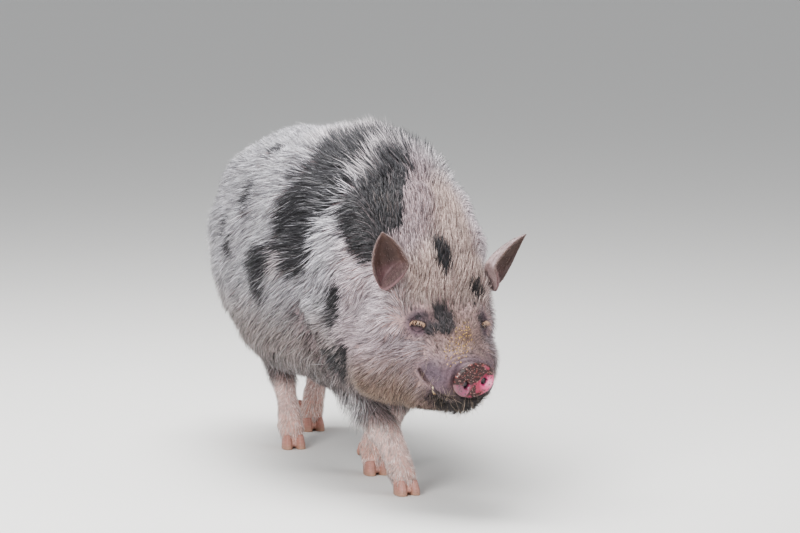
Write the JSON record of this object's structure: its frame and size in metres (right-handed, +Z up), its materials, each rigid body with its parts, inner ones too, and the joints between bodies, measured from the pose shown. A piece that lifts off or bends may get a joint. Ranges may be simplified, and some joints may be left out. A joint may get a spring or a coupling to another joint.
{
  "type": "kunekune pig figure",
  "caption": "Life-size standing kunekune pig, mid-step with its head held low, with a bristly coat, cupped ears, nose disc and cloven feet on level soles.",
  "frame": {"origin": "on the floor, under the middle of the whole model's box", "axes": "+X ahead along the body, +Y to the pig's left, +Z up"},
  "size_m": [1.3058, 0.4886, 0.7101],
  "materials": {
    "bristled_skin": "grey-white bristles over pink-grey skin, with soft black patches",
    "ear_skin": "brown-pink skin inside, thin bristles outside",
    "nose_skin": "moist pink skin with dirt",
    "eye": "dark brown, wet gloss",
    "tusk": "worn ivory",
    "claw": "horn, scuffed"
  },
  "bodies": {
    "root": {"torso": "bristled_skin", "neck": "bristled_skin", "head": "bristled_skin", "tail": "bristled_skin", "nose_disc": "nose_skin", "eye_right": "eye", "eye_left": "eye", "ear_right": "ear_skin", "ear_left": "ear_skin", "tusk_right": "tusk", "tusk_left": "tusk", "foreleg_right": "bristled_skin", "foreleg_left": "bristled_skin", "hindleg_right": "bristled_skin", "hindleg_left": "bristled_skin", "foreleg_right_claw_right": "claw", "foreleg_right_dewclaw_right": "claw", "foreleg_right_claw_left": "claw", "foreleg_right_dewclaw_left": "claw", "foreleg_left_claw_right": "claw", "foreleg_left_dewclaw_right": "claw", "foreleg_left_claw_left": "claw", "foreleg_left_dewclaw_left": "claw", "hindleg_right_claw_right": "claw", "hindleg_right_dewclaw_right": "claw", "hindleg_right_claw_left": "claw", "hindleg_right_dewclaw_left": "claw", "hindleg_left_claw_right": "claw", "hindleg_left_dewclaw_right": "claw", "hindleg_left_claw_left": "claw", "hindleg_left_dewclaw_left": "claw"}
  },
  "joints": []
}
